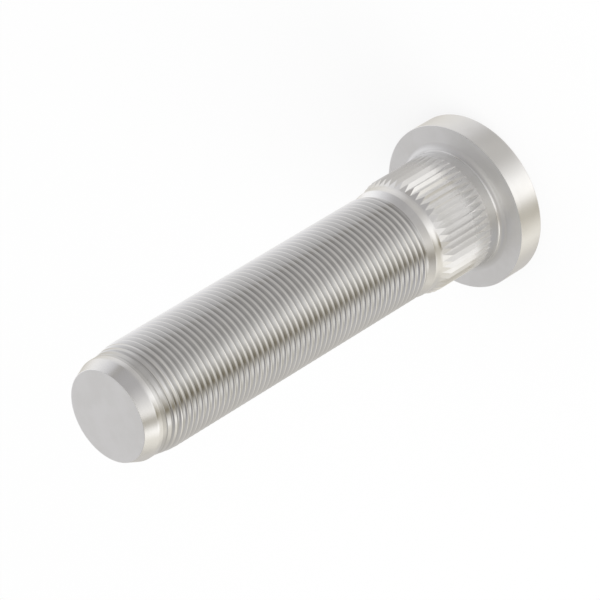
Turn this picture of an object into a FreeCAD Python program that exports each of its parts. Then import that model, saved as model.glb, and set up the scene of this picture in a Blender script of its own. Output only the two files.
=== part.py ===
import FreeCAD, Part
import os

import Sketcher
from FreeCAD import Vector

# Wheel bolt, press-in pattern: a bar with a plain round head, forged, turned, knurled and
# threaded as one piece. It stands on the outer face of its head: +Z runs from the head to the
# threaded tip, and the origin is the centre of the head's outer face. Millimetres.

DRIVING_SIZES = {
    # overall
    "under_head_length": "103.7",    # from the seat under the head to the tip face
    "head_diameter": "37",
    "head_thickness": "6.3",
    "seat_edge_break": "0.1",        # nearly sharp rim beside the seat
    "outer_edge_break": "0.3",       # small chamfer on the rim of the outer face
    # knurled shank, pressed into the hub flange
    "head_fillet_radius": "1.1",     # fillet between shank and seat
    "ring_diameter": "24.4",         # plain guiding ring in front of the knurl
    "knurl_height": "0.87",          # crests above the ring
    "knurl_depth": "0.79",           # crest to groove bottom
    "knurl_teeth": "52",
    "knurl_crest_width": "0.13",     # flat left on each crest
    "knurl_start": "3.3",            # seat to the end of the groove run-out
    "knurl_runout_length": "3.4",    # long, as a large cutter leaves it
    "knurl_length": "15.4",          # seat to the crests' front ends
    "knurl_lead_length": "2.25",     # cone on which the teeth start
    "ring_length": "2.0",
    # neck between ring and thread
    "neck_diameter": "22.4",
    "neck_cone_length": "1.35",      # neck up to the ring
    "neck_runout_length": "1.65",    # thread down to the neck
    # thread and tip; the solid has the thread's outside diameter
    "thread_diameter": "24",
    "thread_lead_length": "4.4",     # where the thread rises to its full height
    "pilot_diameter": "22.6",        # short plain length before the thread
    "pilot_length": "2.3",
    "tip_diameter": "20.2",
    "tip_chamfer_length": "2.95",
}

# Lengths that shape only the tools that cut, and limits
CUTTER_OVERREACH = 0.4               # how far the groove cutter stands outside the crests
RUNOUT_CLEARANCE = 0.04              # how far outside the crests the run-out ends
LARGEST_FILLET_SHARE = 0.6           # of the seat's width
EDGE_FINDING_TOLERANCE = 1e-4


def make_sheet(doc):
    """Write the driving dimensions into a spreadsheet, one alias each."""
    sheet = doc.addObject("Spreadsheet::Sheet", "Sizes")
    for row, (alias, value) in enumerate(DRIVING_SIZES.items(), start=1):
        sheet.set(f"A{row}", alias)
        sheet.set(f"B{row}", value)
        sheet.setAlias(f"B{row}", alias)
    doc.recompute()
    return sheet


def size(alias):
    """Name a cell of the sheet in an expression."""
    return f"Sizes.{alias}"


def origin_feature(body, role):
    """Find one of the body's own origin planes or axes by its role."""
    return next(item for item in body.Origin.OriginFeatures if item.Role == role)


def polygon_sketch(body, name, plane_role, corners):
    """Draw a closed outline whose corners are bound to the sheet.

    Each corner is a pair of expressions, measured from the sketch's origin. An expression of
    None keeps the corner on that axis.
    """
    sheet = body.Document.getObject("Sizes")
    sketch = body.newObject("Sketcher::SketchObject", name)
    sketch.AttachmentSupport = [(origin_feature(body, plane_role), "")]
    sketch.MapMode = "FlatFace"

    def value(expression):
        return 0.0 if expression is None else float(sheet.evalExpression(expression))

    points = [Vector(value(across), value(along), 0.0) for across, along in corners]
    count = len(points)
    for index in range(count):
        sketch.addGeometry(Part.LineSegment(points[index], points[(index + 1) % count]), False)
    for index in range(count):
        sketch.addConstraint(Sketcher.Constraint("Coincident", index, 2, (index + 1) % count, 1))
    for index, (across, along) in enumerate(corners):
        bind_corner(sketch, index, "DistanceX", across, points[index].x, "across")
        bind_corner(sketch, index, "DistanceY", along, points[index].y, "along")
    return sketch


def bind_corner(sketch, index, kind, expression, start_value, word):
    """Hold one coordinate of a corner with a dimension, or on its axis."""
    vertical_axis, horizontal_axis = -2, -1
    if expression is None:
        axis = vertical_axis if kind == "DistanceX" else horizontal_axis
        sketch.addConstraint(Sketcher.Constraint("PointOnObject", index, 1, axis))
        return
    number = sketch.addConstraint(Sketcher.Constraint(kind, -1, 1, index, 1, start_value))
    label = f"corner_{index}_{word}"
    sketch.renameConstraint(number, label)
    sketch.setExpression(f"Constraints.{label}", expression)


def circle_edge(shape, radius, height):
    """Return the name of the full circle about Z with this radius at this height."""
    for number, edge in enumerate(shape.Edges, start=1):
        curve = edge.Curve
        if not isinstance(curve, Part.Circle):
            continue
        same_radius = abs(curve.Radius - radius) < EDGE_FINDING_TOLERANCE
        same_height = abs(curve.Center.z - height) < EDGE_FINDING_TOLERANCE
        if same_radius and same_height:
            return f"Edge{number}"
    raise RuntimeError(f"no circle of radius {radius} at height {height}")


# Expressions shared by the turned outline and the knurl
ring_radius = f"{size('ring_diameter')} / 2"
crest_radius = f"({ring_radius} + {size('knurl_height')})"
seat = size("head_thickness")
total_length = f"({seat} + {size('under_head_length')})"
crest_front = f"({seat} + {size('knurl_length')})"
ring_back = f"({crest_front} + {size('knurl_lead_length')})"
ring_front = f"({ring_back} + {size('ring_length')})"
neck_height = f"({ring_front} + {size('neck_cone_length')})"
thread_back = f"({neck_height} + {size('neck_runout_length')})"
chamfer_back = f"({total_length} - {size('tip_chamfer_length')})"
thread_start = f"({chamfer_back} - {size('pilot_length')})"
thread_full = f"({thread_start} - {size('thread_lead_length')})"


def turned_bar(body):
    """Turn the whole bolt, head and shank, about Z."""
    outline = polygon_sketch(body, "turned_outline", "XZ_Plane", [
        (None, None),
        (f"{size('head_diameter')} / 2", None),
        (f"{size('head_diameter')} / 2", seat),
        (crest_radius, seat),
        (crest_radius, crest_front),
        (ring_radius, ring_back),
        (ring_radius, ring_front),
        (f"{size('neck_diameter')} / 2", neck_height),
        (f"{size('thread_diameter')} / 2", thread_back),
        (f"{size('thread_diameter')} / 2", thread_full),
        (f"{size('pilot_diameter')} / 2", thread_start),
        (f"{size('pilot_diameter')} / 2", chamfer_back),
        (f"{size('tip_diameter')} / 2", total_length),
        (None, total_length),
    ])
    bar = body.newObject("PartDesign::Revolution", "turned_bar")
    bar.Profile = outline
    bar.ReferenceAxis = (outline, ["V_Axis"])
    bar.Angle = 360.0
    body.Document.recompute()
    return bar


def head_fillet(body, bar):
    """Round the corner between shank and seat, at most as far as the seat allows."""
    sheet = body.Document.getObject("Sizes")
    radius = float(sheet.evalExpression(crest_radius))
    fillet = body.newObject("PartDesign::Fillet", "head_fillet")
    fillet.Base = (bar, [circle_edge(bar.Shape, radius, sheet.head_thickness)])
    seat_width = f"({size('head_diameter')} / 2 - {crest_radius})"
    largest = f"{seat_width} * {LARGEST_FILLET_SHARE}"
    fillet.setExpression("Radius", f"min({size('head_fillet_radius')}; {largest})")
    body.Document.recompute()
    return fillet


def rim_chamfer(body, base, name, height, alias):
    """Break one edge of the head's rim."""
    sheet = body.Document.getObject("Sizes")
    chamfer = body.newObject("PartDesign::Chamfer", name)
    chamfer.Base = (base, [circle_edge(base.Shape, sheet.head_diameter / 2, height)])
    chamfer.setExpression("Size", size(alias))
    body.Document.recompute()
    return chamfer


def groove_section(body, name, bottom, height):
    """Draw the V of one knurl groove, square to Z at a height, with its bottom at a radius."""
    depth = size("knurl_depth")
    pitch = f"(2 * pi * {crest_radius} / {size('knurl_teeth')})"
    half_width = f"(({pitch} - {size('knurl_crest_width')}) / 2)"
    reach = f"({depth} + {CUTTER_OVERREACH})"
    outer_half_width = f"({half_width} * {reach} / {depth})"
    section = polygon_sketch(body, name, "XY_Plane", [
        (bottom, None),
        (f"{bottom} + {reach}", outer_half_width),
        (f"{bottom} + {reach}", f"-{outer_half_width}"),
    ])
    section.setExpression("AttachmentOffset.Base.z", height)
    return section


def knurl(body):
    """Cut one V groove that rises out of the shank near the seat, and repeat it all round."""
    groove_bottom = f"({crest_radius} - {size('knurl_depth')})"
    outside = f"({crest_radius} + {RUNOUT_CLEARANCE})"
    runout_end = f"({seat} + {size('knurl_start')})"
    runout_start = f"({runout_end} + {size('knurl_runout_length')})"
    front = f"({ring_back} + {CUTTER_OVERREACH})"
    first = groove_section(body, "groove_front", groove_bottom, front)
    second = groove_section(body, "groove_full_depth", groove_bottom, runout_start)
    third = groove_section(body, "groove_runout", outside, runout_end)
    groove = body.newObject("PartDesign::SubtractiveLoft", "knurl_groove")
    groove.Profile = first
    groove.Sections = [second, third]
    groove.Ruled = True
    body.Document.recompute()
    pattern = body.newObject("PartDesign::PolarPattern", "knurl_grooves")
    pattern.Originals = [groove]
    pattern.Axis = (origin_feature(body, "Z_Axis"), [""])
    pattern.Angle = 360.0
    pattern.setExpression("Occurrences", size("knurl_teeth"))
    body.Tip = pattern
    body.Document.recompute()
    return pattern


def make_wheel_bolt(doc):
    """Model the bolt as one body."""
    sheet = doc.getObject("Sizes")
    body = doc.addObject("PartDesign::Body", "wheel_bolt")
    body.Label = "wheel_bolt"
    bar = turned_bar(body)
    filleted = head_fillet(body, bar)
    seat_rim = rim_chamfer(body, filleted, "seat_rim", sheet.head_thickness, "seat_edge_break")
    outer_rim = rim_chamfer(body, seat_rim, "outer_rim", 0.0, "outer_edge_break")
    before = outer_rim.Shape.Volume
    knurl(body)
    if not body.Shape.Volume < before:
        raise RuntimeError("the knurl cut nothing")
    body.Placement = FreeCAD.Placement()
    return body


def check(doc, bodies):
    """Stop if any feature failed or any sub-part isn't a sound solid."""
    for item in doc.Objects:
        if "Invalid" in item.State or "Error" in item.State:
            raise RuntimeError(f"{item.Name} failed: {item.State}")
    for body in bodies:
        if body.Shape.isNull() or not body.Shape.isValid() or len(body.Shape.Solids) != 1:
            raise RuntimeError(f"{body.Label} isn't one valid solid")


def main():
    doc = FreeCAD.newDocument("wheel_bolt_model")
    make_sheet(doc)
    bodies = [make_wheel_bolt(doc)]
    doc.recompute()
    check(doc, bodies)
    os.makedirs("parts", exist_ok=True)
    for body in bodies:
        body.Shape.exportStep(f"parts/{body.Label}.step")
        box = body.Shape.BoundBox
        print(body.Label, round(body.Shape.Volume, 1), "mm3,", len(body.Shape.Faces), "faces,",
              round(box.XLength, 3), round(box.YLength, 3), round(box.ZLength, 3))


main()
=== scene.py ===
"""Looks of a press-in wheel bolt: rolled thread, serrated shank, bright plating and a plain studio.

The bolt stands on the outer face of its head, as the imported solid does, and +Z runs from the head
to the threaded tip. Lengths are metres. One skin replaces the solid and keeps its outline. What it
adds is the thread's helix, the curve of the serrations' run-out, a slightly larger fillet, eased
edges and the finish.
"""

import logging
import math
from collections.abc import Iterable
from dataclasses import dataclass, field
from enum import Enum

import bmesh
import bpy
from bmesh.types import BMEdge, BMesh, BMFace, BMVert
from bpy.types import Node, NodeSocket
from mathutils import Matrix, Vector


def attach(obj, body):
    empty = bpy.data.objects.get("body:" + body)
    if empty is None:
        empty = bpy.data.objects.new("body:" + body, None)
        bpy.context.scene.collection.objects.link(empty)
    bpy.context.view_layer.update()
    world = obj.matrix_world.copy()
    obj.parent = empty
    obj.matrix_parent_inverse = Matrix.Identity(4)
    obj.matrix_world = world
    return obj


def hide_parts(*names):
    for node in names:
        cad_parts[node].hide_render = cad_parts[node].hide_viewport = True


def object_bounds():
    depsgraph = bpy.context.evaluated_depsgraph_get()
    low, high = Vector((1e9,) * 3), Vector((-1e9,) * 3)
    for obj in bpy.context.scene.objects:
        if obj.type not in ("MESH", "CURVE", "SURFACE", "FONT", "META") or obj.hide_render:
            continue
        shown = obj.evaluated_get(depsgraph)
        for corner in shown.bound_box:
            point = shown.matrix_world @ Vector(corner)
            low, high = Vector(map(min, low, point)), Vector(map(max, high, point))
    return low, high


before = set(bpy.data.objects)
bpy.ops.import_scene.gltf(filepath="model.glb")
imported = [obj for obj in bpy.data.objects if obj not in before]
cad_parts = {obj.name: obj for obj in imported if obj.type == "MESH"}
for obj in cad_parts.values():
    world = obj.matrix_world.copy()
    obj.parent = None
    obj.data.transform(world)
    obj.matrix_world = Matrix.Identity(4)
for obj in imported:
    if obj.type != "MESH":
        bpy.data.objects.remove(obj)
SOLID_LOW, SOLID_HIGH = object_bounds()

log = logging.getLogger("wheel_bolt")

MM = 0.001
NODE = "wheel_bolt"
BODY = "root"

# Sizes that two neighbouring stretches of the bolt share
PILOT_RADIUS = 11.3 * MM
NECK_RADIUS = 11.2 * MM
NECK_HEIGHT = 27.3 * MM              # where the neck meets the thread's run-out
RING_RADIUS = 12.2 * MM
CREST_RADIUS = 13.07 * MM            # of the serrations, and of the plain shank behind them

HOME_ANGLE = "home_angle"            # where a point lies round the bolt on a plain section
TINY = 0.0005 * MM                   # points nearer than this are one point
SEAM = 0.02 * MM                     # how far a full turn of the spun line may drift

Colour = tuple[float, float, float, float]


class Zone(Enum):
    """Stretches of the bolt by how they were made; the value is the material's index."""

    TURNED = 0
    ROLLED = 1
    SERRATED = 2
    FACED = 3
    SEAT = 4


class Grain(Enum):
    """The way that the fine marks of the making run."""

    ROUND = "round the bolt"
    ALONG = "along the bolt"


def polar(radius: float, angle: float, height: float) -> Vector:
    """Return the point at this radius and angle about the bolt's axis."""
    return Vector((radius * math.cos(angle), radius * math.sin(angle), height))


def angle_of(vert: BMVert) -> float:
    """Return a point's angle about the bolt's axis, from 0 up to a full turn."""
    return math.atan2(vert.co.y, vert.co.x) % math.tau


def held(share: float) -> float:
    """Return a share, kept between 0 and 1."""
    return min(max(share, 0.0), 1.0)


def grey(level: float) -> Colour:
    """Return an even grey."""
    return (level, level, level, 1.0)


@dataclass
class Lathe:
    """A skin that grows from a closed loop of edges, one station after another.

    Attributes:
        mesh: The mesh that the skin is part of.
        rim: The edges of the loop that the skin grows from next.
        zone: The finish of the faces that are made.
    """

    mesh: BMesh
    rim: list[BMEdge]
    zone: Zone = Zone.TURNED

    def grow(self) -> list[BMVert]:
        """Extrude the rim once, in place.

        Returns:
            The points of the new rim.
        """
        made = bmesh.ops.extrude_edge_only(self.mesh, edges=self.rim)["geom"]
        points = [item for item in made if isinstance(item, BMVert)]
        new = set(points)
        for item in made:
            if isinstance(item, BMFace):
                item.material_index = self.zone.value
        self.rim = [item for item in made if isinstance(item, BMEdge) and new.issuperset(item.verts)]
        return points

    def turn(self, radius: float, height: float) -> None:
        """Grow to a circle.

        Args:
            radius: The circle's radius.
            height: Its height above the head's outer face.
        """
        home = self.mesh.verts.layers.float[HOME_ANGLE]
        for vert in self.grow():
            vert.co = polar(radius, vert[home], height)

    def close(self, height: float) -> None:
        """Close the skin with a flat face about the axis."""
        bmesh.ops.pointmerge(self.mesh, verts=self.grow(), merge_co=Vector((0.0, 0.0, height)))
        self.rim = []


def note_home_angles(mesh: BMesh, edges: Iterable[BMEdge]) -> None:
    """Keep each point's angle with it, so that plain sections stay straight.

    Args:
        mesh: The mesh that holds the loop.
        edges: The loop's edges.
    """
    home = mesh.verts.layers.float[HOME_ANGLE]
    for vert in {v for edge in edges for v in edge.verts}:
        vert[home] = angle_of(vert)


@dataclass
class RolledThread:
    """Fine right-hand metric thread with its lead at the tip and its run-out at the neck.

    A groove is a 60 degree V with a round root. Its lands lie on a turned bar whose ends taper, so
    the first and last turns are narrow grooves between wide lands.
    """

    pitch: float = 1.5 * MM
    flank: float = math.radians(30.0)    # half of the V's angle
    depth_share: float = 0.6134          # crest to root, for each unit of pitch
    root_share: float = 0.1443           # radius of the round root, for each unit of pitch
    major_radius: float = 12.0 * MM
    lead_start: float = 100.35 * MM      # full height from here down
    pilot_start: float = 104.75 * MM
    pilot_radius: float = PILOT_RADIUS
    neck_height: float = NECK_HEIGHT
    neck_radius: float = NECK_RADIUS
    runout_end: float = 28.95 * MM       # full height from here up
    groove_top: float = 105.9 * MM       # where the first groove starts
    groove_full: float = 104.3 * MM      # where it is full depth
    groove_foot: float = 27.7 * MM       # where the last groove ends
    groove_rise: float = 0.7 * MM        # height over which the last groove rises to its end
    groove_phase: float = 0.4165 * MM    # height of a groove's centre on the +X side
    shoulder: float = 0.035 * MM         # rounding of the crests' edges
    steps: int = 156
    points_a_turn: int = 8
    edge_rounds: int = 4                 # until a wall's edge settles on a tapering land
    turns_below: int = 2                 # spun beyond the cut at the neck
    turns_above: int = 1                 # spun beyond the cut on the pilot
    cut_margin: float = 0.06 * MM

    @property
    def depth(self) -> float:
        """Depth of the thread from crest to root."""
        return self.depth_share * self.pitch

    @property
    def root_rounding(self) -> float:
        """Radius of the round root."""
        return self.root_share * self.pitch

    @property
    def root_reach(self) -> float:
        """Distance along the axis from the groove's centre to where the wall is straight."""
        return self.root_rounding * math.cos(self.flank)

    def land(self, height: float) -> float:
        """Return the radius of the bar that the thread is rolled on.

        Args:
            height: Height up the bolt.

        Returns:
            The radius, full between the lead and the run-out.
        """
        lead = (height - self.lead_start) / (self.pilot_start - self.lead_start)
        runout = (self.runout_end - height) / (self.runout_end - self.neck_height)
        at_tip = self.major_radius - (self.major_radius - self.pilot_radius) * held(lead)
        at_neck = self.major_radius - (self.major_radius - self.neck_radius) * held(runout)
        return min(at_tip, at_neck)

    def root(self, height: float) -> float:
        """Return the radius of the groove's bottom.

        Args:
            height: Height of the groove's centre.

        Returns:
            The radius, which rises to the land at both ends of the groove.
        """
        up = (height - self.groove_full) / (self.groove_top - self.groove_full)
        down = (self.groove_foot + self.groove_rise - height) / self.groove_rise
        bottom = self.major_radius - self.depth
        return bottom + (self.land(height) - bottom) * held(max(up, down))

    def section(self, offset: float, bottom: float) -> float:
        """Return the radius of the V groove's wall.

        Args:
            offset: Distance along the axis from the groove's centre.
            bottom: Radius of the groove's bottom.

        Returns:
            The radius of the round root or of the straight wall there.
        """
        rounding = self.root_rounding
        away = abs(offset)
        if away < self.root_reach:
            return bottom + rounding - math.sqrt(rounding**2 - away**2)
        return bottom - rounding + away / math.tan(self.flank)

    def edge(self, centre: float, side: float, bottom: float) -> float:
        """Return how far from the groove's centre its wall meets the land.

        Args:
            centre: Height of the groove's centre.
            side: 1 for the wall towards the tip, -1 for the one towards the head.
            bottom: Radius of the groove's bottom.

        Returns:
            The distance along the axis.
        """
        offset = self.pitch / 2
        for _ in range(self.edge_rounds):
            rise = self.land(centre + side * offset) - bottom + self.root_rounding
            offset = rise * math.tan(self.flank)
        return offset

    def place(self, vert: BMVert) -> None:
        """Move one point of the plain helix to its place on the groove, the wall or the land.

        Args:
            vert: The point. Its angle and its height tell which place is its own.
        """
        turn = angle_of(vert) / math.tau
        along = (vert.co.z - self.groove_phase) / self.pitch - turn
        number = round(along)
        share = (along - number) * self.points_a_turn
        side = 1.0 if share > 0 else -1.0
        rank = int(abs(share))
        centre = self.groove_phase + (number + turn) * self.pitch
        bottom = self.root(centre)
        reach = self.root_reach
        edge = max(self.edge(centre, side, bottom), reach + self.shoulder)
        # Two places on the round root, then one on either side of the crest's edge
        offset = (reach / 3, reach, edge - self.shoulder / 2, edge + self.shoulder)[rank]
        height = centre + side * offset
        radius = min(self.section(offset, bottom), self.land(height))
        vert.co = polar(radius, turn * math.tau, height)

    def spin(self, mesh: BMesh, low: float, high: float) -> None:
        """Spin a straight line of points round and up the bar, as one plain helical skin.

        Args:
            mesh: The mesh to build in.
            low: Height of the cut at the neck, which the skin reaches past.
            high: Height of the cut on the pilot, which it reaches past too.
        """
        first = math.floor((low - self.groove_phase) / self.pitch) - self.turns_below
        last = math.ceil((high - self.groove_phase) / self.pitch) + self.turns_above
        spacing = self.pitch / self.points_a_turn
        start = self.groove_phase + (first - 0.5) * self.pitch + spacing / 2
        line = bmesh.ops.create_vert(mesh, co=Vector((self.major_radius, 0.0, start)))["vert"]
        for _ in range((last - first) * self.points_a_turn):
            line = bmesh.ops.extrude_vert_indiv(mesh, verts=line)["verts"]
            bmesh.ops.translate(mesh, verts=line, vec=Vector((0.0, 0.0, spacing)))
        bmesh.ops.spin(
            mesh, geom=list(mesh.verts) + list(mesh.edges), cent=Vector(),
            axis=Vector((0.0, 0.0, 1.0)), dvec=Vector((0.0, 0.0, self.pitch / self.steps)),
            angle=math.tau, steps=self.steps, use_merge=False, use_duplicate=False,
        )
        bmesh.ops.remove_doubles(mesh, verts=mesh.verts, dist=SEAM)

    def build(self, mesh: BMesh) -> tuple[list[BMEdge], list[BMEdge]]:
        """Build the thread, with both ends cut square.

        Args:
            mesh: The mesh to build in.

        Returns:
            The loop at the neck and the loop on the pilot.
        """
        low = self.neck_height + self.cut_margin
        high = self.groove_top + self.cut_margin
        self.spin(mesh, low, high)
        for vert in mesh.verts:
            self.place(vert)
        for face in mesh.faces:
            face.material_index = Zone.ROLLED.value
        for height, outwards in ((low, -1.0), (high, 1.0)):
            bmesh.ops.bisect_plane(
                mesh, geom=list(mesh.verts) + list(mesh.edges) + list(mesh.faces), dist=TINY,
                plane_co=Vector((0.0, 0.0, height)), plane_no=Vector((0.0, 0.0, outwards)),
                clear_outer=True,
            )
        rims = [edge for edge in mesh.edges if edge.is_boundary]
        note_home_angles(mesh, rims)
        middle = (low + high) / 2
        at_neck = [edge for edge in rims if edge.verts[0].co.z < middle]
        on_pilot = [edge for edge in rims if edge.verts[0].co.z > middle]
        return at_neck, on_pilot


@dataclass
class Tip:
    """Plain pilot, chamfer and flat end in front of the thread."""

    pilot_radius: float = PILOT_RADIUS
    chamfer_back: float = 107.05 * MM
    tip_radius: float = 10.1 * MM
    end: float = SOLID_HIGH.z

    def build(self, mesh: BMesh, rim: list[BMEdge]) -> None:
        """Grow the tip from the thread's upper loop.

        Args:
            mesh: The mesh to build in.
            rim: The loop on the pilot.
        """
        lathe = Lathe(mesh, rim)
        lathe.turn(self.pilot_radius, self.chamfer_back)
        lathe.turn(self.tip_radius, self.end)
        lathe.zone = Zone.FACED
        lathe.turn(self.tip_radius / 2, self.end)
        lathe.close(self.end)


@dataclass
class GuideRing:
    """Neck below the thread, and the plain ring that guides the bolt into its hole."""

    neck_radius: float = NECK_RADIUS
    neck_height: float = NECK_HEIGHT
    radius: float = RING_RADIUS
    front: float = 25.95 * MM
    joint: float = 25.2 * MM             # where the two skins meet, on the plain ring

    def build(self, mesh: BMesh, rim: list[BMEdge]) -> list[BMEdge]:
        """Grow the neck and half of the ring from the thread's lower loop.

        Args:
            mesh: The mesh to build in.
            rim: The loop at the thread's run-out.

        Returns:
            The loop on the ring.
        """
        lathe = Lathe(mesh, rim)
        lathe.turn(self.neck_radius, self.neck_height)
        lathe.turn(self.radius, self.front)
        lathe.turn(self.radius, self.joint)
        return lathe.rim


@dataclass
class SerratedShank:
    """Straight V serrations round the shank, with a cone in front and a run-out behind."""

    teeth: int = 52
    points_a_tooth: int = 4
    crest_radius: float = CREST_RADIUS
    depth: float = 0.78 * MM
    crest_flat: float = 0.02 * MM
    root_flat: float = 0.02 * MM
    ring_radius: float = RING_RADIUS
    ring_middle: float = 24.7 * MM
    ring_back: float = 23.95 * MM
    crest_front: float = 21.7 * MM
    full_depth_back: float = 15.0 * MM
    runout_back: float = 9.4 * MM
    runout_steps: int = 10
    slightest: float = 0.012             # share of the depth at which a groove starts

    @property
    def step(self) -> float:
        """Angle between two points of a plain section."""
        return math.tau / (self.teeth * self.points_a_tooth)

    @property
    def opening(self) -> float:
        """Half of a groove's width on the crests, for each unit of its depth."""
        pitch = math.tau * self.crest_radius / self.teeth
        return (pitch - self.crest_flat) / 2 / self.depth

    def cone(self, height: float) -> float:
        """Return the radius of the cone in front of the crests."""
        share = (height - self.crest_front) / (self.ring_back - self.crest_front)
        return self.crest_radius + (self.ring_radius - self.crest_radius) * share

    def grooves(self, lathe: Lathe, land: float, depth: float, height: float) -> None:
        """Grow to a toothed section.

        Args:
            lathe: The skin, whose points keep their angle of a plain section.
            land: Radius of the lands between the grooves.
            depth: Depth of the grooves below the lands.
            height: Height of the section.
        """
        home = lathe.mesh.verts.layers.float[HOME_ANGLE]
        edge = depth * self.opening / land
        root = min(self.root_flat / 2, depth * self.opening / 2) / land
        for vert in lathe.grow():
            groove, rank = divmod(round(vert[home] / self.step - 0.5), self.points_a_tooth)
            side = 1.0 if rank < self.points_a_tooth / 2 else -1.0
            centre = (groove if side > 0 else groove + 1) * math.tau / self.teeth
            at_root = rank in (0, self.points_a_tooth - 1)
            radius = land - depth if at_root else land
            vert.co = polar(radius, centre + side * (root if at_root else edge), height)

    def runout(self, lathe: Lathe) -> None:
        """Let the grooves rise along the path of a large round cutter as it leaves.

        Args:
            lathe: The skin that comes down from the crests' front ends.
        """
        for number in range(self.runout_steps + 1):
            share = number / self.runout_steps
            height = self.full_depth_back + (self.runout_back - self.full_depth_back) * share
            arc = 1.0 - share * share
            self.grooves(lathe, self.crest_radius, self.depth * max(arc, self.slightest), height)

    def build(self, mesh: BMesh) -> tuple[list[BMEdge], Lathe]:
        """Build the half ring, the cone and the serrations, down to the plain shank.

        Args:
            mesh: The mesh to build in.

        Returns:
            The loop on the ring, and the skin to go on with at the head.
        """
        middle = Matrix.Translation((0.0, 0.0, self.ring_middle))
        circle = bmesh.ops.create_circle(
            mesh, cap_ends=False, segments=self.teeth * self.points_a_tooth,
            radius=self.ring_radius, matrix=middle @ Matrix.Rotation(self.step / 2, 4, "Z"),
        )
        points = set(circle["verts"])
        start = [edge for edge in mesh.edges if points.issuperset(edge.verts)]
        note_home_angles(mesh, start)
        lathe = Lathe(mesh, start)
        lathe.turn(self.ring_radius, self.ring_back)
        lathe.zone = Zone.SERRATED
        bottom_rise = self.crest_radius - self.depth - self.ring_radius
        crest_rise = self.crest_radius - self.ring_radius
        vanish = self.ring_back + (self.crest_front - self.ring_back) * bottom_rise / crest_rise
        self.grooves(lathe, self.cone(vanish), self.depth * self.slightest, vanish)
        self.grooves(lathe, self.crest_radius, self.depth, self.crest_front)
        self.runout(lathe)
        lathe.zone = Zone.TURNED
        return start, lathe


@dataclass
class Head:
    """Plain round head with a filleted corner to the shank."""

    radius: float = min(SOLID_HIGH.x, SOLID_HIGH.y, -SOLID_LOW.x, -SOLID_LOW.y)
    thickness: float = 6.3 * MM
    shank_radius: float = CREST_RADIUS
    fillet: float = 1.6 * MM
    fillet_steps: int = 16
    fine_share: float = 0.34             # part of the fillet's sweep that is as fine as the shank
    clear_shank: float = 9.2 * MM        # plain from here down

    def build(self, lathe: Lathe) -> None:
        """Grow the plain shank, the fillet, the seat, the rim and the outer face.

        Args:
            lathe: The skin that comes down from the serrations.
        """
        lathe.turn(self.shank_radius, self.clear_shank)
        centre_radius = self.shank_radius + self.fillet
        centre_height = self.thickness + self.fillet
        for number in range(self.fillet_steps + 1):
            share = number / self.fillet_steps
            lathe.zone = Zone.SEAT if share > self.fine_share else Zone.TURNED
            angle = math.pi / 2 * share
            radius = centre_radius - self.fillet * math.cos(angle)
            lathe.turn(radius, centre_height - self.fillet * math.sin(angle))
        lathe.turn(self.radius, self.thickness)
        lathe.zone = Zone.TURNED
        lathe.turn(self.radius, SOLID_LOW.z)
        lathe.zone = Zone.FACED
        lathe.turn(self.radius / 2, SOLID_LOW.z)
        lathe.close(SOLID_LOW.z)


@dataclass(frozen=True)
class Rim:
    """A turned edge that the deburring or plating has eased.

    Attributes:
        radius: The edge's radius.
        height: Its height.
        ease: How far back the rounding reaches.
        segments: How many faces make the rounding.
        profile: Its shape, where 0.5 is round.
    """

    radius: float
    height: float
    ease: float
    segments: int = 3
    profile: float = 0.5

    def soften(self, mesh: BMesh) -> None:
        """Round the edge.

        Args:
            mesh: The mesh that holds the edge.
        """
        def here(vert: BMVert) -> bool:
            """Return whether a point lies on the edge."""
            off_circle = abs(math.hypot(vert.co.x, vert.co.y) - self.radius)
            return abs(vert.co.z - self.height) < TINY and off_circle < TINY

        edges = [edge for edge in mesh.edges if all(here(vert) for vert in edge.verts)]
        if not edges:
            raise ValueError(f"no edge at radius {self.radius} and height {self.height}")
        bmesh.ops.bevel(
            mesh, geom=edges, offset=self.ease, offset_type="OFFSET", affect="EDGES",
            segments=self.segments, profile=self.profile, material=-1, clamp_overlap=True,
        )


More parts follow.
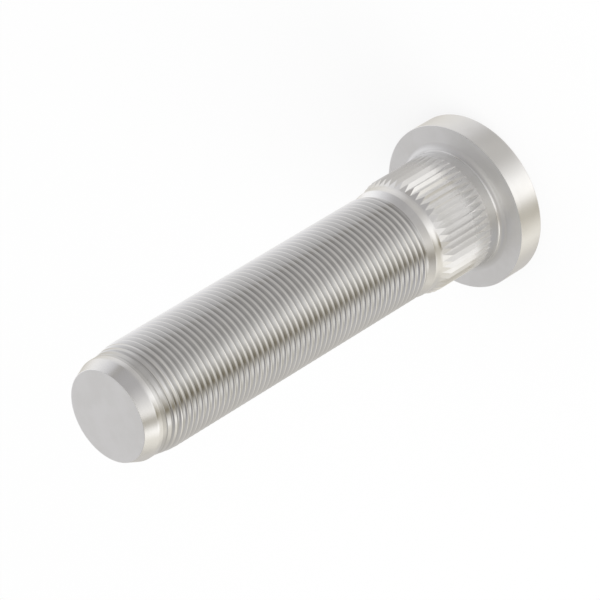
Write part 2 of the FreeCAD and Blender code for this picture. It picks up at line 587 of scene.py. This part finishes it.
@dataclass
class Wiring:
    """Adds nodes to a node tree and links them."""

    tree: bpy.types.NodeTree

    @classmethod
    def of(cls, owner: bpy.types.Material | bpy.types.World) -> "Wiring":
        """Empty the node tree of a material or a world.

        Args:
            owner: The material or the world.

        Returns:
            The wiring of its tree.
        """
        owner.use_nodes = True
        owner.node_tree.nodes.clear()
        return cls(owner.node_tree)

    def feed(self, socket: NodeSocket, value: object) -> None:
        """Set an input to a value, or link another node's output to it.

        Args:
            socket: The input.
            value: The value, or the other node's output.
        """
        if isinstance(value, NodeSocket):
            self.tree.links.new(value, socket)
        else:
            socket.default_value = value

    def add(self, kind: str, inputs: dict[int | str, object] | None = None,
            **settings: object) -> Node:
        """Add one node.

        Args:
            kind: The node's type.
            inputs: What each input gets, a value or another node's output.
            **settings: The node's own settings.

        Returns:
            The node.
        """
        node = self.tree.nodes.new(kind)
        for name, value in settings.items():
            setattr(node, name, value)
        for key, value in (inputs or {}).items():
            self.feed(node.inputs[key], value)
        return node

    def math(self, operation: str, *values: object) -> NodeSocket:
        """Return the result of a Math node."""
        return self.add("ShaderNodeMath", dict(enumerate(values)), operation=operation).outputs[0]

    def vector(self, operation: str, *values: object) -> Node:
        """Add a Vector Math node."""
        return self.add("ShaderNodeVectorMath", dict(enumerate(values)), operation=operation)

    def scaled(self, vector: object, scale: object) -> NodeSocket:
        """Return a vector or a colour times a number.

        Args:
            vector: The vector or the colour.
            scale: The number.

        Returns:
            The product.
        """
        node = self.vector("SCALE", vector)
        self.feed(node.inputs["Scale"], scale)
        return node.outputs[0]

    def ramp(self, value: NodeSocket, low: float, high: float, start: float, end: float,
             smooth: bool = False) -> NodeSocket:
        """Return a value carried over from one range to another.

        Args:
            value: The value to carry over.
            low: The value that becomes start.
            high: The value that becomes end.
            start: The result at low.
            end: The result at high.
            smooth: Whether the ends are eased.

        Returns:
            The result, which stays between start and end.
        """
        kind = "SMOOTHSTEP" if smooth else "LINEAR"
        inputs = dict(enumerate((value, low, high, start, end)))
        return self.add("ShaderNodeMapRange", inputs, interpolation_type=kind).outputs[0]

    def blend(self, share: object, first: object, second: object) -> NodeSocket:
        """Return a colour between two.

        Args:
            share: How much of the second colour it has.
            first: The first colour.
            second: The second colour.

        Returns:
            The blended colour.
        """
        node = self.add("ShaderNodeMix", {0: share, 6: first, 7: second}, data_type="RGBA")
        return node.outputs[2]

    def flat_and_height(self, place: NodeSocket) -> tuple[NodeSocket, NodeSocket]:
        """Split a vector.

        Args:
            place: The vector.

        Returns:
            The vector laid flat, and its height.
        """
        parts = self.add("ShaderNodeSeparateXYZ", {0: place}).outputs
        flat = self.add("ShaderNodeCombineXYZ", {0: parts[0], 1: parts[1]}).outputs[0]
        return flat, parts[2]

    def noise(self, place: NodeSocket, scale: float, detail: float) -> NodeSocket:
        """Return the level of a noise at a place."""
        inputs = {"Vector": place, "Scale": scale, "Detail": detail}
        return self.add("ShaderNodeTexNoise", inputs).outputs[0]

    def background(self, colour: object, strength: float) -> NodeSocket:
        """Return a background's light."""
        inputs = {"Color": colour, "Strength": strength}
        return self.add("ShaderNodeBackground", inputs).outputs[0]

    def mix(self, share: NodeSocket, first: NodeSocket, second: NodeSocket) -> NodeSocket:
        """Return a shader between two."""
        return self.add("ShaderNodeMixShader", {0: share, 1: first, 2: second}).outputs[0]

    def background_share(self) -> NodeSocket:
        """Tell the rays that see the background from the rest.

        Returns:
            1 for camera, glossy and transmission rays, and 0 for the rest.
        """
        path = self.add("ShaderNodeLightPath").outputs
        seen = self.math("MAXIMUM", path["Is Camera Ray"], path["Is Glossy Ray"])
        return self.math("MAXIMUM", seen, path["Is Transmission Ray"])


@dataclass(frozen=True)
class Dulling:
    """A change of roughness that comes in over a stretch of height and holds above it.

    Attributes:
        low: Height where the change starts.
        high: Height from which it is whole.
        change: How much it adds to the roughness.
    """

    low: float
    high: float
    change: float


@dataclass(frozen=True)
class PlatedSteel:
    """Bright plating on steel, with the fine marks of how the steel under it was cut or rolled.

    Attributes:
        name: The material's name.
        grain: The way that the marks run.
        mark_width: Width of a mark.
        mark_relief: Height of the bump that a mark makes.
        mark_detail: How finely the marks break up.
        mark_drift: How much the marks round the bolt change along their way.
        mark_stretch: Width of a mark along the bolt, for each unit of its length.
        mark_radius: Radius at which the marks along the bolt have their width.
        colour: Colour of the clean plating.
        worn: Colour where it is a little duller.
        cloud_scale: Fineness of the clouds in the plating.
        cloud_detail: How finely the clouds break up.
        cloud_range: The clouds' levels at which the plating is clean and worn.
        marks_share: How much of the roughness follows the marks; the rest follows the clouds.
        mixed_range: Levels of marks and clouds that give the lowest and highest roughness.
        roughness: Lowest and highest roughness.
        shadow_radii: Radii between which painted shade at the bottom of a groove or corner fades
            out, or None.
        shadow: Colour of that painted shade.
        dulling: Changes of roughness along the bolt.
    """

    name: str
    grain: Grain = Grain.ROUND
    mark_width: float = 0.30 * MM
    mark_relief: float = 0.00012 * MM
    mark_detail: float = 2.0
    mark_drift: float = 0.35
    mark_stretch: float = 0.04
    mark_radius: float = 13.0 * MM
    colour: Colour = grey(0.84)
    worn: Colour = (0.81, 0.81, 0.805, 1.0)
    cloud_scale: float = 160.0
    cloud_detail: float = 3.0
    cloud_range: tuple[float, float] = (0.38, 0.62)
    marks_share: float = 0.6
    mixed_range: tuple[float, float] = (0.35, 0.65)
    roughness: tuple[float, float] = (0.13, 0.19)
    shadow_radii: tuple[float, float] | None = None
    shadow: Colour = (0.605, 0.605, 0.60, 1.0)
    dulling: tuple[Dulling, ...] = ()

    def material(self) -> bpy.types.Material:
        """Make the material.

        Returns:
            The material, laid out in the object's own coordinates.
        """
        made = bpy.data.materials.new(self.name)
        wiring = Wiring.of(made)
        spot = wiring.add("ShaderNodeTexCoord").outputs["Object"]
        flat, height = wiring.flat_and_height(spot)
        radius = wiring.vector("LENGTH", flat).outputs["Value"]
        around = wiring.vector("NORMALIZE", flat).outputs[0]
        marks = self.marks(wiring, radius, around, height)
        cloud = wiring.noise(spot, self.cloud_scale, self.cloud_detail)
        bump = wiring.add("ShaderNodeBump", {
            "Strength": 1.0, "Distance": self.mark_relief, "Height": marks})
        shader = wiring.add("ShaderNodeBsdfPrincipled", {
            "Base Color": self.shade(wiring, cloud, radius), "Metallic": 1.0,
            "Roughness": self.dullness(wiring, marks, cloud, height),
            "Normal": bump.outputs[0]})
        wiring.add("ShaderNodeOutputMaterial", {"Surface": shader.outputs[0]})
        return made

    def shade(self, wiring: Wiring, cloud: NodeSocket, radius: NodeSocket) -> NodeSocket:
        """Return the plating's colour.

        Args:
            wiring: The material's nodes.
            cloud: Level of the clouds.
            radius: Distance from the axis.

        Returns:
            The colour, a little duller in the clouds, with painted shade at the bottom of a groove
            or corner.
        """
        patch = wiring.ramp(cloud, *self.cloud_range, 0.0, 1.0, smooth=True)
        colour = wiring.blend(patch, self.colour, self.worn)
        # Painted shade: the colour darkens to shadow inside the inner of shadow_radii and fades out
        # by the outer
        if self.shadow_radii:
            outside = wiring.ramp(radius, *self.shadow_radii, 0.0, 1.0)
            colour = wiring.blend(outside, self.shadow, colour)
        return colour

    def dullness(self, wiring: Wiring, marks: NodeSocket, cloud: NodeSocket,
                 height: NodeSocket) -> NodeSocket:
        """Return the roughness.

        Args:
            wiring: The material's nodes.
            marks: Height of the fine marks.
            cloud: Level of the clouds.
            height: Height up the bolt.

        Returns:
            The roughness from marks and clouds, with the changes along the bolt.
        """
        from_marks = wiring.math("MULTIPLY", marks, self.marks_share)
        from_cloud = wiring.math("MULTIPLY", cloud, 1.0 - self.marks_share)
        mixed = wiring.math("ADD", from_marks, from_cloud)
        roughness = wiring.ramp(mixed, *self.mixed_range, *self.roughness)
        for duller in self.dulling:
            added = wiring.ramp(height, duller.low, duller.high, 0.0, duller.change, smooth=True)
            roughness = wiring.math("ADD", roughness, added)
        return roughness

    def marks(self, wiring: Wiring, radius: NodeSocket, around: NodeSocket,
              height: NodeSocket) -> NodeSocket:
        """Return the height of the fine marks.

        Args:
            wiring: The material's nodes.
            radius: Distance from the axis.
            around: Direction away from the axis.
            height: Height up the bolt.

        Returns:
            A noise that is drawn out the way the marks run.
        """
        fine = 1.0 / self.mark_width
        if self.grain is Grain.ROUND:
            out = wiring.math("MULTIPLY", radius, fine)
            up = wiring.math("MULTIPLY", height, fine)
            across = wiring.add("ShaderNodeCombineXYZ", {0: out, 1: up}).outputs[0]
            place = wiring.vector("ADD", across, wiring.scaled(around, self.mark_drift))
        else:
            spread = wiring.scaled(around, self.mark_radius * fine)
            up = wiring.math("MULTIPLY", height, fine * self.mark_stretch)
            along = wiring.add("ShaderNodeCombineXYZ", {2: up}).outputs[0]
            place = wiring.vector("ADD", spread, along)
        return wiring.noise(place.outputs[0], 1.0, self.mark_detail)


@dataclass
class WheelBolt:
    """The whole bolt, as one closed skin."""

    thread: RolledThread = field(default_factory=RolledThread)
    tip: Tip = field(default_factory=Tip)
    ring: GuideRing = field(default_factory=GuideRing)
    shank: SerratedShank = field(default_factory=SerratedShank)
    head: Head = field(default_factory=Head)
    sharp_above: float = math.radians(42.0)
    thread_sharp_above: float = math.radians(15.0)

    def rims(self) -> tuple[Rim, ...]:
        """Return the turned edges that are eased, from the tip to the head."""
        return (
            Rim(self.tip.tip_radius, self.tip.end, 0.10 * MM),
            Rim(self.tip.pilot_radius, self.tip.chamfer_back, 0.30 * MM),
            Rim(self.ring.neck_radius, self.ring.neck_height, 0.25 * MM),
            Rim(self.ring.radius, self.ring.front, 0.06 * MM),
            Rim(self.head.radius, self.head.thickness, 0.10 * MM),
            Rim(self.head.radius, SOLID_LOW.z, 0.30 * MM),
        )

    def finishes(self) -> tuple[PlatedSteel, ...]:
        """Return the finishes in the order of the zones."""
        return (
            PlatedSteel("turned_plating"),
            PlatedSteel(
                # Painted shade darkens the thread's grooves towards their roots
                "rolled_plating", roughness=(0.05, 0.08), shadow_radii=(11.08 * MM, 12.0 * MM),
            ),
            PlatedSteel(
                "serrated_plating", grain=Grain.ALONG, mark_width=0.25 * MM,
                dulling=(
                    Dulling(9.3 * MM, 10.8 * MM, 0.42),
                    Dulling(11.2 * MM, 14.4 * MM, -0.34),
                ),
            ),
            PlatedSteel("faced_plating", roughness=(0.36, 0.42)),
            PlatedSteel(
                # Painted shade darkens the lower fillet and the seat next to the shank
                "seat_plating", roughness=(0.36, 0.42), shadow_radii=(13.7 * MM, 14.8 * MM),
                shadow=grey(0.67),
            ),
        )

    def skin(self) -> BMesh:
        """Build the closed skin.

        Returns:
            The mesh, with every face turned outwards.
        """
        mesh = bmesh.new()
        mesh.verts.layers.float.new(HOME_ANGLE)
        neck_rim, pilot_rim = self.thread.build(mesh)
        self.tip.build(mesh, pilot_rim)
        upper = self.ring.build(mesh, neck_rim)
        lower, lathe = self.shank.build(mesh)
        self.head.build(lathe)
        bridge = bmesh.ops.bridge_loops(mesh, edges=upper + lower)["faces"]
        for face in bridge:
            face.material_index = Zone.TURNED.value
        for rim in self.rims():
            rim.soften(mesh)
        bmesh.ops.recalc_face_normals(mesh, faces=mesh.faces)
        return mesh

    def mark_sharp(self, skin: BMesh) -> None:
        """Smooth the faces, and keep the edges between steep faces sharp.

        Args:
            skin: The closed skin.
        """
        for face in skin.faces:
            face.smooth = True
        for edge in skin.edges:
            rolled = all(face.material_index == Zone.ROLLED.value for face in edge.link_faces)
            limit = self.thread_sharp_above if rolled else self.sharp_above
            edge.smooth = edge.calc_face_angle() < limit

    def build(self) -> bpy.types.Object:
        """Make the bolt's object, with its normals and finishes.

        Returns:
            The object, at the origin and unturned.
        """
        skin = self.skin()
        open_edges = sum(1 for edge in skin.edges if len(edge.link_faces) != 2)
        if open_edges:
            raise ValueError(f"the skin has {open_edges} open edges")
        self.mark_sharp(skin)
        data = bpy.data.meshes.new("bolt_skin")
        skin.to_mesh(data)
        skin.free()
        for finish in self.finishes():
            data.materials.append(finish.material())
        piece = bpy.data.objects.new("bolt_skin", data)
        bpy.context.scene.collection.objects.link(piece)
        weighted = piece.modifiers.new("flat faces stay flat", "WEIGHTED_NORMAL")
        weighted.keep_sharp = True
        return piece


@dataclass(frozen=True)
class Panel:
    """A soft-edged white panel, or a grey one that takes light away, round the bolt.

    Attributes:
        azimuth: Its direction in degrees, from -Y towards -X.
        elevation: Its height in degrees.
        half_width: Half of its width in degrees, with its soft edge.
        half_height: Half of its height in degrees, with its soft edge.
        level: What it adds to the light.
        warmth: How much less blue than red it adds; green loses a quarter of that.
    """

    azimuth: float
    elevation: float
    half_width: float
    half_height: float
    level: float
    warmth: float = 0.0

    def light(self, wiring: Wiring, sideways: NodeSocket, height: NodeSocket) -> NodeSocket:
        """Return the colour of the panel's light in a direction.

        Args:
            wiring: The world's nodes.
            sideways: The direction laid flat, of length 1.
            height: The direction's elevation in radians.

        Returns:
            The light that the panel adds there.
        """
        turn = math.radians(self.azimuth)
        middle = (-math.sin(turn), -math.cos(turn), 0.0)
        facing = wiring.vector("DOT_PRODUCT", sideways, middle).outputs["Value"]
        aside = wiring.math("ARCCOSINE", facing)
        across = wiring.ramp(aside, 0.0, math.radians(self.half_width), 1.0, 0.0, smooth=True)
        off = wiring.math("SUBTRACT", height, math.radians(self.elevation))
        above = wiring.math("ABSOLUTE", off)
        upright = wiring.ramp(above, 0.0, math.radians(self.half_height), 1.0, 0.0, smooth=True)
        colour = (self.level, self.level - self.warmth / 4, self.level - self.warmth)
        return wiring.scaled(colour, wiring.math("MULTIPLY", across, upright))


@dataclass
class Studio:
    """Plain white floor, soft light from all round, and the camera."""

    turn: float = math.radians(2.04)     # lines the serrations up with the view
    # Surround and panels weren't set by hand: a fit to the photo's light gave them, rounded
    surround: tuple[float, float, float] = (1.15, 1.105, 1.005)
    dimmest: tuple[float, float, float] = (0.15, 0.15, 0.15)
    panels: tuple[Panel, ...] = (
        Panel(-30.0, 10.0, 148.0, 173.0, -0.69, -0.13),
        Panel(63.0, -15.0, 34.0, 85.0, -1.06, 0.02),
        Panel(-166.0, -8.0, 135.0, 284.0, -1.06, -0.14),
        Panel(31.0, -32.0, 60.0, 74.0, 0.59, -0.02),
        Panel(70.0, -10.0, 25.0, 45.0, 1.03, -0.06),
        Panel(-147.0, -23.0, 96.0, 112.0, 1.47, -0.02),
        Panel(-179.0, -37.0, 18.0, 39.0, 0.44, -0.05),
        Panel(27.0, 65.0, 62.0, 14.0, 0.78, -0.04),
        Panel(36.0, -26.0, 28.0, 22.0, -0.80, 0.04),
        Panel(-68.0, -5.0, 14.0, 14.0, -0.13, 0.04),
        Panel(93.0, 44.0, 55.0, 42.0, -1.32, -0.15),
        Panel(31.0, -56.0, 14.0, 14.0, 0.23),
        Panel(-152.0, -30.0, 80.0, 45.0, -0.82, 0.10),
        Panel(93.0, 40.0, 56.0, 29.0, 0.99),
    )
    white: Colour = grey(1.0)
    paper: Colour = grey(0.86)
    paper_roughness: float = 0.9
    room_light: float = 0.85             # what plain surfaces get from all round
    floor_half: float = 3.0
    floor_squares: int = 4               # along each side
    floor_drop: float = 0.02 * MM
    floor_glow: float = 0.80             # how far the floor is lifted to white for the camera
    lamp_size: float = 0.9
    lamp_power: float = 7.0
    lamp_place: tuple[float, float, float] = (-0.55, -0.35, 1.1)
    camera_place: tuple[float, float, float] = (0.0, -750.33 * MM, 635.09 * MM)
    camera_right: tuple[float, float, float] = (-0.5172, -0.5239, -0.6767)
    camera_up: tuple[float, float, float] = (0.8558, -0.3167, -0.4090)
    camera_reach: tuple[float, float] = (0.05, 20.0)
    lens: float = 279.7
    sensor: float = 36.0

    def panel_light(self, wiring: Wiring) -> NodeSocket:
        """Return the light that the metal mirrors.

        Args:
            wiring: The world's nodes.

        Returns:
            The surround with every panel's light added, at least as bright as the dimmest.
        """
        way = wiring.add("ShaderNodeTexCoord").outputs["Generated"]
        turned = wiring.add(
            "ShaderNodeVectorRotate", {"Vector": way, "Angle": -self.turn}, rotation_type="Z_AXIS",
        ).outputs[0]
        flat, upwards = wiring.flat_and_height(turned)
        sideways = wiring.vector("NORMALIZE", flat).outputs[0]
        height = wiring.math("ARCSINE", upwards)
        light = self.surround
        for panel in self.panels:
            added = panel.light(wiring, sideways, height)
            light = wiring.vector("ADD", light, added).outputs[0]
        return wiring.vector("MAXIMUM", light, self.dimmest).outputs[0]

    def world(self) -> None:
        """Light the scene from all round, white to the camera and with soft panels in the metal."""
        made = bpy.data.worlds.new("studio")
        bpy.context.scene.world = made
        wiring = Wiring.of(made)
        camera_ray = wiring.add("ShaderNodeLightPath").outputs["Is Camera Ray"]
        mirrored = wiring.background(self.panel_light(wiring), 1.0)
        plain = wiring.background(self.white, 1.0)
        room = wiring.background(self.white, self.room_light)
        seen = wiring.mix(camera_ray, mirrored, plain)
        whole = wiring.mix(wiring.background_share(), room, seen)
        wiring.add("ShaderNodeOutputWorld", {"Surface": whole})

    def paper_material(self) -> bpy.types.Material:
        """Make the floor's paper, which keeps a shadow and is lifted to white.

        Returns:
            The material.
        """
        made = bpy.data.materials.new("white_paper")
        wiring = Wiring.of(made)
        paper = wiring.add("ShaderNodeBsdfPrincipled", {
            "Base Color": self.paper, "Roughness": self.paper_roughness,
            "Specular IOR Level": 0.0}).outputs[0]
        glow = wiring.add("ShaderNodeEmission", {"Color": self.white, "Strength": 1.0}).outputs[0]
        share = wiring.math("MULTIPLY", wiring.background_share(), self.floor_glow)
        both = wiring.mix(share, paper, glow)
        wiring.add("ShaderNodeOutputMaterial", {"Surface": both})
        return made

    def floor(self) -> None:
        """Lay a white paper floor that keeps the bolt's soft shadow."""
        sheet = bmesh.new()
        bmesh.ops.create_grid(
            sheet, x_segments=self.floor_squares, y_segments=self.floor_squares,
            size=self.floor_half, matrix=Matrix.Translation((0.0, 0.0, -self.floor_drop)),
        )
        data = bpy.data.meshes.new("floor")
        sheet.to_mesh(data)
        sheet.free()
        data.materials.append(self.paper_material())
        piece = bpy.data.objects.new("floor", data)
        bpy.context.scene.collection.objects.link(piece)
        piece.visible_glossy = False

    def lamp(self) -> None:
        """Hang one large soft lamp over the bolt."""
        data = bpy.data.lights.new("soft_lamp", "AREA")
        data.size = self.lamp_size
        data.energy = self.lamp_power
        lamp = bpy.data.objects.new("soft_lamp", data)
        place = Matrix.Rotation(self.turn, 3, "Z") @ Vector(self.lamp_place)
        lamp.location = place
        lamp.rotation_mode = "QUATERNION"
        lamp.rotation_quaternion = (-place).to_track_quat("-Z", "Y")
        lamp.visible_glossy = False
        bpy.context.scene.collection.objects.link(lamp)

    def camera(self) -> None:
        """Place the camera, looking down on the bolt with the tip towards it."""
        right = Vector(self.camera_right).normalized()
        up = Vector(self.camera_up)
        up = (up - up.dot(right) * right).normalized()
        axes = Matrix((right, up, right.cross(up))).transposed().to_4x4()
        data = bpy.data.cameras.new("camera")
        data.lens = self.lens
        data.sensor_width = self.sensor
        data.clip_start, data.clip_end = self.camera_reach
        eye = bpy.data.objects.new("camera", data)
        turned = Matrix.Rotation(self.turn, 4, "Z")
        eye.matrix_world = turned @ Matrix.Translation(self.camera_place) @ axes
        bpy.context.scene.collection.objects.link(eye)
        bpy.context.scene.camera = eye

    def build(self) -> None:
        """Set up the floor, the light, the camera and the plain view."""
        self.world()
        self.floor()
        self.lamp()
        self.camera()
        bpy.context.scene.view_settings.view_transform = "Standard"


def main() -> None:
    """Build the bolt and its studio."""
    logging.basicConfig(level=logging.INFO, format="%(message)s")
    bolt = WheelBolt().build()
    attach(bolt, BODY)
    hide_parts(NODE)
    log.info("%s: %d faces", bolt.name, len(bolt.data.polygons))
    Studio().build()
    log.info("studio: floor, lamp and camera")


if __name__ == "__main__":
    main()
